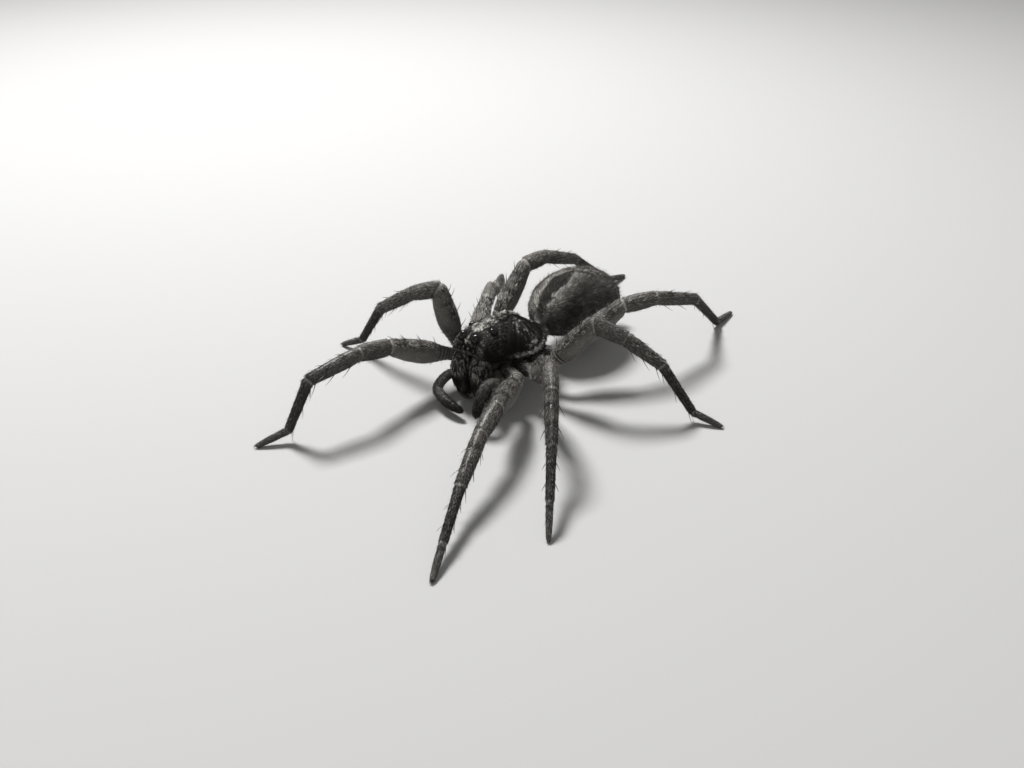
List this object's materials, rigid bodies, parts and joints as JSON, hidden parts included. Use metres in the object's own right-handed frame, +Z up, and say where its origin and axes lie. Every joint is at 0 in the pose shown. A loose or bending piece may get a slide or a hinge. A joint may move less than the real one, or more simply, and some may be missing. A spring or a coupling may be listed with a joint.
{
  "type": "wolf spider",
  "caption": "Still, life-size wolf spider standing alert on its feet, with a domed head shield, hanging jaws, forward eyes, hairy legs and an egg-shaped abdomen.",
  "frame": {"origin": "centre of the whole animal's box, on the floor under it", "axes": "+Z up, -Y the way the head faces, +X the spider's own left"},
  "size_m": [0.035, 0.0478, 0.0093],
  "materials": {
    "carapace": "dark brown shell under short hair, pale band of hair down the middle",
    "abdomen": "grey-brown skin under dense velvety hair, darker mark and chevrons down the back",
    "leg": "grey-brown shell, pale hair above, dark spines and bristles",
    "underside": "dark brown shell and short hair",
    "chelicera": "near-black satin shell with pale grey hair at the top",
    "fang": "polished near-black horn",
    "eye": "polished black lens"
  },
  "bodies": {
    "root": {"carapace": "carapace", "sternum": "underside", "mouthparts": "underside", "abdomen": "abdomen", "spinnerets": "underside", "eye_anterior_median_left": "eye", "eye_anterior_lateral_left": "eye", "eye_posterior_median_left": "eye", "eye_posterior_lateral_left": "eye", "chelicera_left": "chelicera", "fang_left": "fang", "palp_left": "leg", "left_leg_1_coxa": "leg", "left_leg_1_femur": "leg", "left_leg_1_patella": "leg", "left_leg_1_tibia": "leg", "left_leg_1_foot": "leg", "left_leg_2_coxa": "leg", "left_leg_2_femur": "leg", "left_leg_2_patella": "leg", "left_leg_2_tibia": "leg", "left_leg_2_foot": "leg", "left_leg_3_coxa": "leg", "left_leg_3_femur": "leg", "left_leg_3_patella": "leg", "left_leg_3_tibia": "leg", "left_leg_3_foot": "leg", "left_leg_4_coxa": "leg", "left_leg_4_femur": "leg", "left_leg_4_patella": "leg", "left_leg_4_tibia": "leg", "left_leg_4_foot": "leg", "eye_anterior_median_right": "eye", "eye_anterior_lateral_right": "eye", "eye_posterior_median_right": "eye", "eye_posterior_lateral_right": "eye", "chelicera_right": "chelicera", "fang_right": "fang", "palp_right": "leg", "right_leg_1_coxa": "leg", "right_leg_1_femur": "leg", "right_leg_1_patella": "leg", "right_leg_1_tibia": "leg", "right_leg_1_foot": "leg", "right_leg_2_coxa": "leg", "right_leg_2_femur": "leg", "right_leg_2_patella": "leg", "right_leg_2_tibia": "leg", "right_leg_2_foot": "leg", "right_leg_3_coxa": "leg", "right_leg_3_femur": "leg", "right_leg_3_patella": "leg", "right_leg_3_tibia": "leg", "right_leg_3_foot": "leg", "right_leg_4_coxa": "leg", "right_leg_4_femur": "leg", "right_leg_4_patella": "leg", "right_leg_4_tibia": "leg", "right_leg_4_foot": "leg"}
  },
  "joints": []
}
